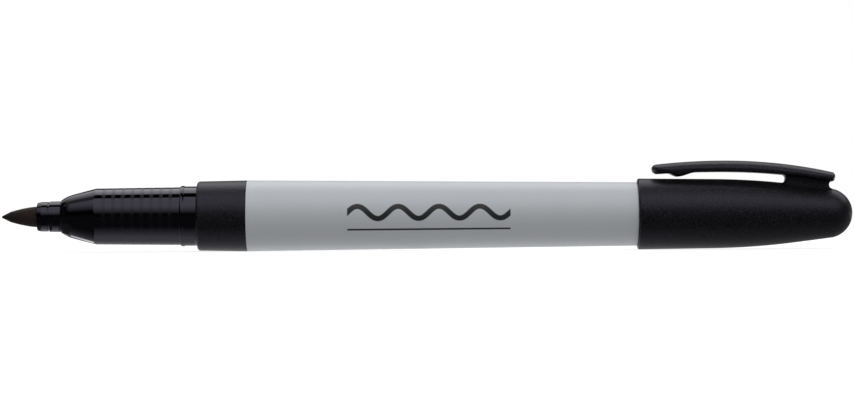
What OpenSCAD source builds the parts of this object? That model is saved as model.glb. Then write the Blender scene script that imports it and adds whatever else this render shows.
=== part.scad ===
// Fine-tip permanent marker, lying on its side with the cap pushed onto its rear end.
// The axis runs along X, the nib points to -X and the clip is on top (+Z).
// Stations are measured from the tip of the nib, depths from the mouth of the cap.

/* [Nib] */
// Length of felt that shows in front of the holder
nib_show = 6; // [5:0.1:8]
// Diameter of the felt rod
nib_d = 3.44; // [2.8:0.02:4]
// Diameter of the rounded writing tip
nib_tip_d = 0.42; // [0.3:0.02:0.8]
// Length of the straight taper behind the tip
nib_taper = 1.5; // [1:0.1:2.5]
// Diameter where the straight taper ends
nib_taper_d = 1.74; // [1.2:0.02:2.2]
// Fullness of the curve from the taper to the rod
nib_fullness = 1.6; // [1.2:0.1:2.4]
// Length of rod inside the ink reservoir
nib_feed = 6; // [3:0.5:12]

/* [Nib holder] */
// Diameter of the front ring
holder_front_d = 4.95; // [4.6:0.05:5.4]
// Diameter of the rear ring
holder_rear_d = 5.15; // [4.6:0.05:5.6]
// Length of the front ring
holder_front = 1.83; // [1.2:0.01:2.4]
// Length of the whole holder that shows
holder_show = 3.95; // [3:0.05:5]
// Radius of the rounded front edge
holder_edge_r = 0.4; // [0.1:0.05:0.6]
// Width and depth of the groove between the rings
holder_groove = 0.14; // [0.05:0.01:0.25]
// Wall of the tail that sits in the section
holder_wall = 0.35; // [0.25:0.05:0.5]
// Length of that tail
holder_tail = 6.2; // [4:0.1:8]

/* [Section] */
// Diameter at the front of the nose
nose_d = 5.3; // [5:0.05:5.8]
// Length of the curved nose
nose_len = 5.67; // [4.5:0.05:7]
// Radius of the nose's long curve
nose_curve_r = 17.8; // [12:0.1:40]
// Diameter of the grip at its front
grip_front_d = 9.34; // [9:0.02:9.6]
// Diameter of the grip at its rear
grip_rear_d = 9.64; // [9.4:0.02:9.7]
// Length of the grip
grip_len = 14.28; // [12:0.05:17]
// How many hazy rings the grip has
ring_count = 8; // [4:1:9]
// Distance from one ring to the next
ring_pitch = 1.583; // [1.2:0.01:1.65]
// Width of a ring
ring_w = 0.6; // [0.3:0.05:0.9]
// Depth of a ring
ring_depth = 0.04; // [0.02:0.01:0.15]
// Distance from the nose's crease to the first ring
ring_start = 1.32; // [0.6:0.02:1.6]
// Height of the snap bead over the plain land
bead_h = 0.1; // [0.06:0.01:0.25]
// Width of the snap bead
bead_w = 0.7; // [0.4:0.05:1]
// Diameter of the plain land that the cap seats round
land_d = 9.92; // [9.66:0.02:10.2]
// Length of the plain land
land_len = 2.04; // [1.5:0.02:4]
// Diameter of the air chamber inside
chamber_d = 6; // [5.4:0.1:7]
// Length of the tail that sits in the collar and the barrel
section_tail = 17.3; // [13:0.1:24]

/* [Collar] */
// Length of the collar
collar_len = 8.28; // [6:0.05:11]
// Diameter at the collar's front edge
collar_front_d = 11.56; // [11.2:0.02:11.8]
// Radius of the collar's front edge
collar_edge_r = 0.4; // [0.1:0.05:0.7]

/* [Barrel] */
// Length of the barrel
barrel_len = 65.1; // [50:0.1:90]
// Diameter at the front, next to the collar
barrel_front_d = 11.83; // [11.4:0.01:13]
// Diameter at the rear
barrel_rear_d = 10.58; // [10.3:0.02:11.4]
// Wall at the rear, where it is thinnest
barrel_wall = 0.69; // [0.5:0.01:0.9]

/* [Ink reservoir] */
// Diameter of the fibre rod
reservoir_d = 7.2; // [6.6:0.1:7.8]
// Thickness of the film round it
film_t = 0.15; // [0.1:0.01:0.25]
// Distance from the collar's front to the rod's front
reservoir_set = 5.5; // [3:0.1:8]

/* [Tail plug] */
// Length of the plug inside the barrel
plug_len = 9; // [6:0.1:14]
// Depth of the plug's seat for the reservoir
plug_seat = 2; // [1:0.1:4]
// Wall of the plug
plug_wall = 1.35; // [1.1:0.05:1.8]
// Length of the spigot that carries the cap
spigot_len = 14.4; // [9:0.1:15]
// Thickness of the spigot's closed end
spigot_end = 1.2; // [0.8:0.1:2]
// Radius of the spigot's rounded edge
spigot_edge_r = 0.6; // [0.2:0.05:1]

/* [Cap] */
// Wall at the mouth
cap_wall = 0.81; // [0.7:0.01:1.2]
// Draft of the straight front part, in degrees
cap_draft = 0.63; // [0.2:0.01:0.9]
// Depth at which the sides start to curve in
cap_bend = 12.8; // [10:0.1:15]
// Radius of that long curve
cap_curve_r = 119; // [110:1:180]
// Slope of the sides where they meet the dome, in degrees
cap_slope = 7.1; // [5:0.1:7.4]
// Wall at the closed end
cap_end = 1.98; // [1.6:0.02:3]
// How far the funnel starts in front of the grip's crease
cap_funnel_lead = 1; // [0.5:0.1:2]
// Radius of the rounded lip
cap_lip_r = 0.25; // [0.1:0.05:0.35]
// Wall beside the inner end of the cavity
cap_tip_wall = 0.6; // [0.45:0.05:0.9]

/* [Inner cap] */
// Diameter of the liner
liner_d = 8; // [7.4:0.1:8.1]
// Wall of the liner
liner_wall = 0.6; // [0.4:0.05:0.7]
// Depth at which the liner starts to narrow
liner_bend = 27.2; // [25:0.1:28]
// Room in front of the nib's tip
tip_room = 0.55; // [0.3:0.05:1]

/* [Clip] */
// Height of the strap's highest point above the mouth's rim
clip_rise = 2.93; // [2.6:0.01:4]
// Depth of that highest point
clip_crest = 14.33; // [12:0.1:16]
// Radius of the strap's long arch
clip_arch_r = 81.3; // [70:0.1:100]
// Thickness of the strap
clip_t = 1.73; // [1.3:0.01:1.9]
// Width of the strap at its root
clip_root_w = 5.8; // [4.4:0.1:6.6]
// Width of the strap near its tip
clip_tip_w = 5; // [3.8:0.1:5.8]
// Radius of the strap's crown, seen along the marker
clip_crown_r = 4.5; // [3.6:0.1:8]
// Depth of the strap's tip
clip_tip = 2.37; // [1:0.01:4]
// Depth of the strap's rear end
clip_rear = 32.95; // [31:0.05:33.2]
// Radius of the strap's rounded rear end
clip_rear_r = 0.84; // [0.4:0.02:0.84]
// Gap between the pip and the cap
pip_gap = 0.36; // [0.2:0.02:0.8]
// Radius of the pip
pip_r = 4; // [3:0.1:6]
// Depth of the pip's lowest point
pip_depth = 6.9; // [5:0.1:9]
// Depth of the slot's closed end
slot_end = 24.6; // [22:0.1:26]
// Depth of the web's rear edge
web_rear = 31.95; // [30:0.05:32.2]
// Width of the web under the strap
web_w = 2.8; // [1.6:0.1:3.6]
// Radius of the notch behind the web
notch_r = 0.7; // [0.4:0.05:0.9]

/* [Clearances] */
// Gap left between pieces that are pressed together
fit_gap = 0.03; // [0.02:0.01:0.06]
// Running gap between pieces that move on each other
run_gap = 0.05; // [0.03:0.01:0.08]

/* [Hidden] */
$fn = 96;
arc_steps = 10;
// How far a cut runs past the face that it opens
cut_past = 1;

// Radii
nib_r = nib_d / 2;
nib_tip_r = nib_tip_d / 2;
nib_taper_r = nib_taper_d / 2;
nib_bore_r = nib_r + fit_gap;
holder_tail_r = nib_bore_r + holder_wall;
nose_bore_r = holder_tail_r + fit_gap;
land_r = land_d / 2;
bead_r = land_r + bead_h;
barrel_bore_r = barrel_rear_d / 2 - barrel_wall;
tail_r = barrel_bore_r - fit_gap;
reservoir_r = reservoir_d / 2;
film_in_r = reservoir_r + fit_gap;
film_out_r = film_in_r + film_t;
seat_r = film_out_r + fit_gap;
cap_bore_r = bead_r + run_gap;
cap_mouth_r = cap_bore_r + cap_wall;
liner_r = liner_d / 2;
liner_in_r = liner_r - liner_wall;
liner_bore_r = liner_r + run_gap;

// Stations along the axis
holder_st = nib_show;
holder_end_st = holder_st + holder_show;
section_st = holder_end_st + fit_gap;
holder_tail_st = section_st + holder_tail;
crease_st = section_st + nose_len;
grip_end_st = crease_st + grip_len;
bead_st = grip_end_st + bead_w / 2;
land_st = grip_end_st + bead_w;
collar_st = land_st + land_len;
barrel_st = collar_st + collar_len;
reservoir_st = collar_st + reservoir_set;
section_end_st = collar_st + section_tail;
barrel_end_st = barrel_st + barrel_len;
plug_st = barrel_end_st - plug_len;
reservoir_end_st = plug_st + plug_seat;
cap_st = barrel_end_st + run_gap;

// Depths inside the cap, which closes on the collar's front face when it covers the nib
nib_tip_depth = collar_st;
bead_depth = collar_st - bead_st;
liner_end_depth = nib_tip_depth + tip_room + liner_wall;
cavity_depth = liner_end_depth + run_gap;
cap_len = cavity_depth + cap_end;
cap_bore_depth = collar_st - crease_st - cap_funnel_lead;

marker_len = cap_st + cap_len;
axis_h = max(barrel_front_d / 2, cap_mouth_r);

// Points on an arc, given as [radius from the axis, place along it]
function arc(centre, r, from, to) =
    [for (i = [0:arc_steps]) let (a = from + (to - from) * i / arc_steps)
        centre + r * [sin(a), cos(a)]];

// The same outline moved along the axis
function along(points, step) = [for (p = points) p + [0, step]];

// The nose is one arc through its front edge and the crease
nose_front = [nose_d / 2, section_st];
nose_back = [grip_front_d / 2, crease_st];
nose_chord = nose_back - nose_front;
nose_half = norm(nose_chord) / 2;
nose_across = [-nose_chord[1], nose_chord[0]] / (2 * nose_half);
nose_centre = (nose_front + nose_back) / 2 + nose_across * sqrt(nose_curve_r ^ 2 - nose_half ^ 2);
function nose_station(r) = nose_centre[1] - sqrt(nose_curve_r ^ 2 - (r - nose_centre[0]) ^ 2);
function nose_angle(p) = atan2(p[0] - nose_centre[0], p[1] - nose_centre[1]);

// The liner's lip closes on the nose where the nose is as wide as the lip
liner_lip_depth = collar_st - nose_station(liner_in_r) - run_gap;

// The cap's side is straight, then one long arc, then straight again up to the dome
cap_flank_depth = cap_bend + cap_curve_r * (sin(cap_slope) - sin(cap_draft));
cap_bend_r = cap_mouth_r - cap_bend * tan(cap_draft);
cap_flank_r = cap_bend_r - cap_curve_r * (cos(cap_draft) - cos(cap_slope));
dome_r = (cap_flank_r * cos(cap_slope) - sin(cap_slope) * (cap_len - cap_flank_depth)) / (1 - sin(cap_slope));
dome_depth = cap_len - dome_r;
cavity_end_r = sqrt(dome_r ^ 2 - (cavity_depth - dome_depth) ^ 2) - cap_tip_wall;
liner_end_r = cavity_end_r - run_gap;

// The strap's arch, and the flexing joint just in front of the slot's closed end
arch_z = cap_mouth_r + clip_rise - clip_arch_r;
arch_mid_r = clip_arch_r - clip_t / 2;
function strap_z(depth) = arch_z + sqrt(arch_mid_r ^ 2 - (depth - clip_crest) ^ 2);
strap_end_r = clip_t / 2;
flex_depth = slot_end - clip_t / 2 - run_gap;
pip_low_z = cap_mouth_r - pip_depth * tan(cap_draft) + pip_gap;

// A body of revolution from its half outline of [radius, station] points
module turned(outline) {
    translate([-marker_len / 2, 0, axis_h])
        rotate([0, 90, 0])
            rotate_extrude()
                polygon(outline);
}

// Puts a side view, drawn as depth and height above the axis, into the marker and gives it a width
module side_view(width) {
    translate([cap_st - marker_len / 2, 0, axis_h])
        rotate([90, 0, 0])
            linear_extrude(width, center = true)
                children();
}

// A half-round bead on the land, as outline points
function bead(station) =
    let (r = (bead_h ^ 2 + bead_w ^ 2 / 4) / (2 * bead_h), half = asin(bead_w / 2 / r))
        arc([bead_r - r, station], r, 90 + half, 90 - half);

module nib() {
    tip_reach = norm([nib_taper - nib_tip_r, nib_taper_r]);
    tip_turn = atan2(nib_taper_r, nib_taper - nib_tip_r) + acos(nib_tip_r / tip_reach);
    curve_len = nib_show - nib_taper;
    curve = [for (i = [0:arc_steps]) let (back = 1 - i / arc_steps)
        [nib_r - (nib_r - nib_taper_r) * back ^ nib_fullness, nib_show - back * curve_len]];
    rod_end = reservoir_st + nib_feed;
    color("#2b2523")
        turned(concat(arc([0, nib_tip_r], nib_tip_r, 180, tip_turn), curve, [[nib_r, rod_end], [0, rod_end]]));
}

module nib_holder() {
    front_r = holder_front_d / 2;
    rear_r = holder_rear_d / 2;
    groove_st = holder_st + holder_front;
    color("#151517")
        turned(concat(
            [[nib_bore_r, holder_tail_st], [nib_bore_r, holder_st]],
            arc([front_r - holder_edge_r, holder_st + holder_edge_r], holder_edge_r, 180, 90),
            [[front_r, groove_st], [front_r - holder_groove, groove_st],
             [front_r - holder_groove, groove_st + holder_groove], [rear_r, groove_st + holder_groove],
             [rear_r, holder_end_st], [holder_tail_r, holder_end_st], [holder_tail_r, holder_tail_st]]));
}

module section() {
    function grip_r(st) = (grip_front_d + (grip_rear_d - grip_front_d) * (st - crease_st) / grip_len) / 2;
    function groove(st) = [[grip_r(st), st], [grip_r(st) - ring_depth, st],
        [grip_r(st + ring_w) - ring_depth, st + ring_w], [grip_r(st + ring_w), st + ring_w]];
    first_ring = crease_st + ring_start;
    rings = [for (i = [0:ring_count - 1], p = groove(first_ring + i * ring_pitch)) p];
    chamber_r = chamber_d / 2;
    chamber_st = holder_tail_st + holder_wall;
    color("#0c0c0f")
        turned(concat(
            [[nose_bore_r, section_st]],
            arc(nose_centre, nose_curve_r, nose_angle(nose_front), nose_angle(nose_back)),
            rings, [[grip_rear_d / 2, grip_end_st]], bead(bead_st),
            [[land_r, collar_st], [tail_r, collar_st], [tail_r, section_end_st], [seat_r, section_end_st],
             [seat_r, reservoir_st], [chamber_r, reservoir_st], [chamber_r, chamber_st], [nose_bore_r, chamber_st]]));
}

module collar() {
    front_r = collar_front_d / 2;
    front_st = collar_st + fit_gap;
    color("#232326")
        turned(concat(
            [[barrel_bore_r, barrel_st], [barrel_bore_r, front_st]],
            arc([front_r - collar_edge_r, front_st + collar_edge_r], collar_edge_r, 180, 90),
            [[barrel_front_d / 2, barrel_st]]));
}

module barrel() {
    color("#b3b6b9")
        turned([[barrel_bore_r, barrel_st + fit_gap], [barrel_front_d / 2, barrel_st + fit_gap],
                [barrel_rear_d / 2, barrel_end_st], [barrel_bore_r, barrel_end_st]]);
}

module ink_reservoir() {
    bore_end = reservoir_st + nib_feed + fit_gap;
    color("#3a3a40")
        turned([[nib_bore_r, reservoir_st + fit_gap], [reservoir_r, reservoir_st + fit_gap],
                [reservoir_r, reservoir_end_st], [0, reservoir_end_st], [0, bore_end], [nib_bore_r, bore_end]]);
}

module reservoir_film() {
    color("#e4e6e8")
        turned([[film_in_r, reservoir_st + fit_gap], [film_out_r, reservoir_st + fit_gap],
                [film_out_r, reservoir_end_st], [film_in_r, reservoir_end_st]]);
}

module tail_plug() {
    plug_in_r = tail_r - plug_wall;
    shoulder_st = barrel_end_st + fit_gap;
    ledge_st = reservoir_end_st + fit_gap;
    end_st = cap_st + spigot_len;
    hollow_st = end_st - spigot_end;
    color("#1e1e21")
        turned(concat(
            [[seat_r, plug_st], [tail_r, plug_st], [tail_r, shoulder_st], [land_r, shoulder_st]],
            bead(cap_st + bead_depth),
            arc([land_r - spigot_edge_r, end_st - spigot_edge_r], spigot_edge_r, 90, 0),
            [[0, end_st], [0, hollow_st], [plug_in_r, hollow_st], [plug_in_r, ledge_st], [seat_r, ledge_st]]));
}

module inner_cap() {
    slant_end = liner_end_depth - liner_wall;
    color("#dcdcd6")
        turned(along(
            [[liner_in_r, liner_lip_depth], [liner_r, liner_lip_depth], [liner_r, liner_bend],
             [liner_end_r, liner_end_depth], [0, liner_end_depth], [0, slant_end],
             [liner_end_r - liner_wall, slant_end], [liner_in_r, liner_bend]], cap_st));
}

// The cap's cavity: a bore for the snap bead, a funnel, the liner's seat and a narrowing end
module cap_cavity() {
    funnel_end = liner_lip_depth - run_gap;
    turned(along(
        [[0, -cut_past], [cap_bore_r, -cut_past], [cap_bore_r, cap_bore_depth], [liner_bore_r, funnel_end],
         [liner_bore_r, liner_bend], [cavity_end_r, cavity_depth], [0, cavity_depth]], cap_st));
}

module cap_body() {
    lip = arc([cap_mouth_r - cap_lip_r, cap_lip_r], cap_lip_r, 180, 90);
    side_centre = [cap_bend_r - cap_curve_r * cos(cap_draft), cap_bend - cap_curve_r * sin(cap_draft)];
    side = arc(side_centre, cap_curve_r, 90 - cap_draft, 90 - cap_slope);
    dome = arc([0, dome_depth], dome_r, 90 - cap_slope, 0);
    turned(along(concat([[0, 0]], lip, side, dome), cap_st));
}

// The strap seen from above: it narrows towards a round tip
module strap_plan() {
    tip_r = clip_tip_w / 2;
    translate([cap_st - marker_len / 2, 0, axis_h])
        linear_extrude(cap_mouth_r + clip_rise + clip_t)
            union() {
                translate([clip_tip + tip_r, 0])
                    circle(tip_r);
                polygon([[clip_tip + tip_r, -tip_r], [clip_rear, -clip_root_w / 2],
                         [clip_rear, clip_root_w / 2], [clip_tip + tip_r, tip_r]]);
            }
}

// The strap's crowned top: a ring of round section that the strap is cut to
module strap_crown() {
    translate([cap_st - marker_len / 2 + clip_crest, 0, axis_h + arch_z])
        rotate([90, 0, 0])
            rotate_extrude()
                translate([clip_arch_r - clip_crown_r, 0])
                    circle(clip_crown_r);
}

// Side view of the arch between two depths
module arch_view(from, to) {
    intersection() {
        translate([clip_crest, arch_z])
            difference() {
                circle(clip_arch_r);
                circle(clip_arch_r - clip_t);
            }
        translate([from, 0])
            square([to - from, clip_arch_r]);
    }
}

// Side view of the free arm: round tip, arch, pip and the round end that it flexes about
module arm_view() {
    tip_depth = clip_tip + strap_end_r;
    arch_view(tip_depth, flex_depth);
    translate([tip_depth, strap_z(tip_depth)])
        circle(strap_end_r);
    translate([flex_depth, strap_z(flex_depth)])
        circle(strap_end_r);
    intersection() {
        translate([pip_depth, pip_low_z + pip_r])
            circle(pip_r);
        translate([clip_crest, arch_z])
            circle(arch_mid_r);
    }
}

// Side view of the notch between the strap's rear end and the dome
module notch_view() {
    translate([web_rear + notch_r, dome_r + notch_r])
        circle(notch_r);
}

// Side view of the socket that the arm's round end turns in
module socket_view() {
    translate([flex_depth, strap_z(flex_depth)])
        circle(strap_end_r + run_gap);
}

// Side view of the clip's root: the rear of the arch, with the socket and the notch cut out
module root_view() {
    end_depth = clip_rear - clip_rear_r;
    difference() {
        union() {
            arch_view(flex_depth, end_depth);
            translate([end_depth, strap_z(end_depth)])
                circle(clip_rear_r);
        }
        socket_view();
        notch_view();
    }
}

// Side view of the web that ties the arch to the cap, with a round slot end and a rear notch
module web_view() {
    slot_top = strap_z(slot_end) - clip_t / 2;
    slot_r = (slot_top - cap_flank_r) / 2;
    difference() {
        intersection() {
            translate([flex_depth + run_gap, 0])
                square([web_rear + notch_r - flex_depth - run_gap, clip_arch_r]);
            translate([clip_crest, arch_z])
                circle(arch_mid_r);
        }
        translate([slot_end - slot_r, slot_top - slot_r])
            circle(slot_r);
        translate([flex_depth, slot_top - 2 * slot_r])
            square([slot_end - slot_r - flex_depth, clip_t + 2 * slot_r]);
        socket_view();
        notch_view();
    }
}

module cap_shell() {
    color("#232326")
        difference() {
            union() {
                cap_body();
                side_view(web_w)
                    web_view();
                intersection() {
                    side_view(clip_root_w)
                        root_view();
                    strap_plan();
                    strap_crown();
                }
            }
            cap_cavity();
        }
}

module clip_arm() {
    color("#232326")
        intersection() {
            side_view(clip_root_w)
                arm_view();
            strap_plan();
            strap_crown();
        }
}

nib();
nib_holder();
section();
collar();
barrel();
ink_reservoir();
reservoir_film();
tail_plug();
inner_cap();
cap_shell();
clip_arm();
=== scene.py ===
# %% [markdown]
# # Dressing a permanent marker
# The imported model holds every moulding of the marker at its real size, as a plain solid. In this lesson
# each solid that can be seen gets a smooth surface worked out with numpy, a material named for the real
# plastic or felt, and the light of a catalogue picture. Sizes are in millimetres until a mesh is made.

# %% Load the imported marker
import math

import bmesh
import bpy
import numpy as np
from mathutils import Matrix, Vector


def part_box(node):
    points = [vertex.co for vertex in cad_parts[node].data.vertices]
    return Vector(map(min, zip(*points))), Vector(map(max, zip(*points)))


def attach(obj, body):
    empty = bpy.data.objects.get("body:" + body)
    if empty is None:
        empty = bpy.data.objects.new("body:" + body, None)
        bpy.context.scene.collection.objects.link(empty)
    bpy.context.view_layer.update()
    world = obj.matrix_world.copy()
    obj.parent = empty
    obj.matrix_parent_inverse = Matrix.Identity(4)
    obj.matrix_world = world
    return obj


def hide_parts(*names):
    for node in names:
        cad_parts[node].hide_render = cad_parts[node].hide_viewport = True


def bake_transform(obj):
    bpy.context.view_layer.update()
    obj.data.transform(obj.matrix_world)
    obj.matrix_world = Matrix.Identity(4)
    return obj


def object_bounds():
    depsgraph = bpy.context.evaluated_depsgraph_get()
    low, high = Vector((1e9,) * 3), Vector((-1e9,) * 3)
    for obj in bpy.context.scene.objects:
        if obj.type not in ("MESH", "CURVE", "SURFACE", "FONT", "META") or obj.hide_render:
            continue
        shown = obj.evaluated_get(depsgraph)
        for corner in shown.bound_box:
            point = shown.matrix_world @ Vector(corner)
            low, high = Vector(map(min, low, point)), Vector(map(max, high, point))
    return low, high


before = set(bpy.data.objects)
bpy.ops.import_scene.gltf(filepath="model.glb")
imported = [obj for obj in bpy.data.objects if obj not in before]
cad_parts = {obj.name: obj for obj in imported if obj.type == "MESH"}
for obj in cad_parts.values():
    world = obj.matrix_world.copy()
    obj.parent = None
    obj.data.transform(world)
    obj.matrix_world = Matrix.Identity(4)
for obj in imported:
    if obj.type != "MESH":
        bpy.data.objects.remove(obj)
cad_low, cad_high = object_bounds()
MM = 0.001
print("CAD box in mm:", [round(v / MM, 2) for v in (*cad_low, *cad_high)])

# %% [markdown]
# ## Read the places of the pieces
# The marker lies along X with its nib towards -X. A piece's box gives its front, its back and its radius,
# so nothing has to be typed twice. Distances called depth are measured from the mouth of the cap.

# %% Fronts, backs and radii
boxes = {name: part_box(name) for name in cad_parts}
front = {name: low.x / MM for name, (low, high) in boxes.items()}
back = {name: high.x / MM for name, (low, high) in boxes.items()}
radius = {name: (high.y - low.y) / 2 / MM for name, (low, high) in boxes.items()}
AXIS = (boxes["barrel"][0].z + boxes["barrel"][1].z) / 2 / MM
FIT_GAP = 0.03
RUN_GAP = 0.05
mouth = front["cap_shell"]
collar_face = front["collar"] - FIT_GAP
print("axis height", round(AXIS, 3), "mm, length", round(back["cap_shell"] - front["nib"], 2), "mm")

# %% [markdown]
# ## Camera
# The picture was taken level with the marker from about half a metre away: the edges of the rings bow a
# little, and by the same amount above and below the axis. A camera with a long lens gives that. The lens
# follows from how much of the scene the picture's width takes in, and a small roll tips the marker up
# to the right.

# %% The camera
PICTURE_WIDTH_PX = 854
PX_PER_MM = 5.99
CAMERA_DISTANCE = 500.0
SENSOR_WIDTH = 36.0
CLIP_START = 10.0
AXIS_BELOW_CENTRE_PX = 10.0
CAMERA_ROLL_DEG = 0.28

view_width = PICTURE_WIDTH_PX / PX_PER_MM
camera_data = bpy.data.cameras.new("catalogue_camera")
camera_data.sensor_width = SENSOR_WIDTH
camera_data.lens = SENSOR_WIDTH * CAMERA_DISTANCE / view_width
camera_data.clip_start = CLIP_START * MM
camera = bpy.data.objects.new("catalogue_camera", camera_data)
camera.location = (0, -CAMERA_DISTANCE * MM, (AXIS + AXIS_BELOW_CENTRE_PX / PX_PER_MM) * MM)
camera.rotation_euler = (math.pi / 2, math.radians(CAMERA_ROLL_DEG), 0)
bpy.context.scene.collection.objects.link(camera)
bpy.context.scene.camera = camera
print("lens", round(camera_data.lens, 1), "mm, view", round(view_width, 1), "mm wide")

# %% [markdown]
# ## Tools for outlines
# A turned piece is drawn as a lathe worker would draw it: half its section, as points of (place along the
# axis, radius). Two small functions give the round stretches, so an outline needs only its corners.

# %% Arcs and softened corners
NEARLY_STRAIGHT = math.radians(89)


def arc(centre, size, start, end, steps=16):
    """Points on a circle: centre + size times (cosine, sine) of angles from start to end, in degrees."""
    angles = np.radians(np.linspace(start, end, steps))
    return np.asarray(centre, float) + size * np.stack([np.cos(angles), np.sin(angles)], axis=1)


def softened(corners, steps=5):
    """Rounds each corner (x, r, edge radius): the arc touches both legs, a length edge / tan(half angle) away
    from the corner, and its points are the two contact vectors mixed by sines about the arc's centre."""
    corners = np.asarray(corners, float)
    points, edges = corners[:, :2], corners[:, 2]
    out = []
    for before, here, after, edge in zip(np.roll(points, 1, 0), points, np.roll(points, -1, 0), edges):
        to_before = (before - here) / np.linalg.norm(before - here)
        to_after = (after - here) / np.linalg.norm(after - here)
        half = math.acos(np.clip(to_before @ to_after, -1, 1)) / 2
        if edge <= 0 or half > NEARLY_STRAIGHT:
            out.append(here[None])
            continue
        reach = edge / math.tan(half)
        centre = here + (to_before + to_after) / np.linalg.norm(to_before + to_after) * edge / math.sin(half)
        turn = math.pi - 2 * half
        share = np.linspace(0, 1, steps)[:, None]
        first, last = here + to_before * reach - centre, here + to_after * reach - centre
        mixed = np.sin((1 - share) * turn) * first + np.sin(share * turn) * last
        out.append(centre + mixed / math.sin(turn))
    return np.concatenate(out)


print("a softened square has", len(softened([(0, 0, 1), (9, 0, 1), (9, 9, 1), (0, 9, 1)])), "points")

# %% [markdown]
# ## Tools for surfaces
# Every new piece is a grid of rings. A ring closes on itself, and the first and last rings either shrink
# to a point, as on a dome, or join each other, as on a tube with a wall. The grid is one numpy array, and
# the faces are index arithmetic on it.

# %% Skin a grid of rings
SHARP_ANGLE = math.radians(40)


def skin(name, rings, tube):
    """Joins ring i, point j to ring i+1, point j+1 by a quad. A tube also joins its last ring to its first;
    otherwise the first and last rings are single points, joined to their neighbours by triangles."""
    count, sides, _ = rings.shape
    across = np.arange(sides)
    beside = (across + 1) % sides
    if tube:
        points = rings.reshape(-1, 3)
        row = np.arange(count)[:, None] * sides
        over = (np.arange(count)[:, None] + 1) % count * sides
        fans = []
    else:
        points = np.concatenate([rings[0, :1], rings[1:-1].reshape(-1, 3), rings[-1, :1]])
        row = 1 + np.arange(count - 3)[:, None] * sides
        over = row + sides
        last_row, last = 1 + (count - 3) * sides, len(points) - 1
        fans = np.stack([0 * across, 1 + beside, 1 + across], 1).tolist()
        fans += np.stack([last + 0 * across, last_row + across, last_row + beside], 1).tolist()
    quads = np.stack([row + across, row + beside, over + beside, over + across], -1).reshape(-1, 4)
    mesh = bpy.data.meshes.new(name)
    mesh.from_pydata((points * MM).tolist(), [], quads.tolist() + fans)
    shell = bmesh.new()
    shell.from_mesh(mesh)
    bmesh.ops.recalc_face_normals(shell, faces=shell.faces)
    shell.to_mesh(mesh)
    shell.free()
    mesh.polygons.foreach_set("use_smooth", np.ones(len(mesh.polygons), bool))
    mesh.set_sharp_from_angle(angle=SHARP_ANGLE)
    piece = bpy.data.objects.new(name, mesh)
    bpy.context.scene.collection.objects.link(piece)
    print(name, "has", len(mesh.polygons), "faces")
    return piece


# %% Turn an outline
EDGE_HOLD, LONG_STRETCH = 0.04, 0.2


def stiffened(outline, tube):
    """Adds a point a short way in from both ends of each long stretch: smooth shading then turns only at the
    corners and leaves the stretch between them straight."""
    starts = np.asarray(outline, float)
    ends = np.roll(starts, -1, 0)
    length = np.linalg.norm(ends - starts, axis=1)
    step = (ends - starts) * (EDGE_HOLD / np.maximum(length, EDGE_HOLD))[:, None]
    long = length > LONG_STRETCH
    long[-1] &= tube
    keep = np.stack([np.ones_like(long), long, long], 1)
    return np.stack([starts, starts + step, ends - step], 1)[keep]


def turned(name, outline, tube=True, sides=192):
    """A body of revolution about the marker's axis: the outline point (x, r) becomes the ring
    (x, r cos a, axis + r sin a) for angles a all the way round."""
    x, r = stiffened(outline, tube).T
    angles = 2 * np.pi * np.arange(sides) / sides
    rings = np.stack([
        x[:, None] + 0 * angles,
        r[:, None] * np.cos(angles),
        AXIS + r[:, None] * np.sin(angles)], -1)
    return skin(name, rings, tube)


# %% [markdown]
# ## Nib
# The nib is a rod of hard felt ground to a point. A short cone runs back from a small round tip, and a
# curve that grows by a power law fills out to the rod. A power law is one line of numpy and follows the
# ground shape better than an arc does.

# %% The felt nib
NIB_TIP_R = 0.21
NIB_TAPER, NIB_TAPER_R = 1.5, 0.87
NIB_FULLNESS = 1.6
nib_r = radius["nib"]
nib_shown = front["nib_holder"] - front["nib"]

tip_reach = math.hypot(NIB_TAPER - NIB_TIP_R, NIB_TAPER_R)
tip_turn = math.degrees(math.atan2(NIB_TAPER_R, NIB_TAPER - NIB_TIP_R) + math.acos(NIB_TIP_R / tip_reach))
tip = arc((front["nib"] + NIB_TIP_R, 0), NIB_TIP_R, 180, tip_turn)
backward = np.linspace(1, 0, 40)
swell = np.stack([
    front["nib"] + nib_shown - backward * (nib_shown - NIB_TAPER),
    nib_r - (nib_r - NIB_TAPER_R) * backward ** NIB_FULLNESS], axis=1)
nib = turned("felt_nib", np.concatenate([tip, swell, [(back["nib"], nib_r), (back["nib"], 0)]]), tube=False)

# %% [markdown]
# ## Nib holder
# A small sleeve with two rings and a fine groove between them grips the nib. Its front edge is well
# rounded, which catches the light, so the corners are softened by different radii.

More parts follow.
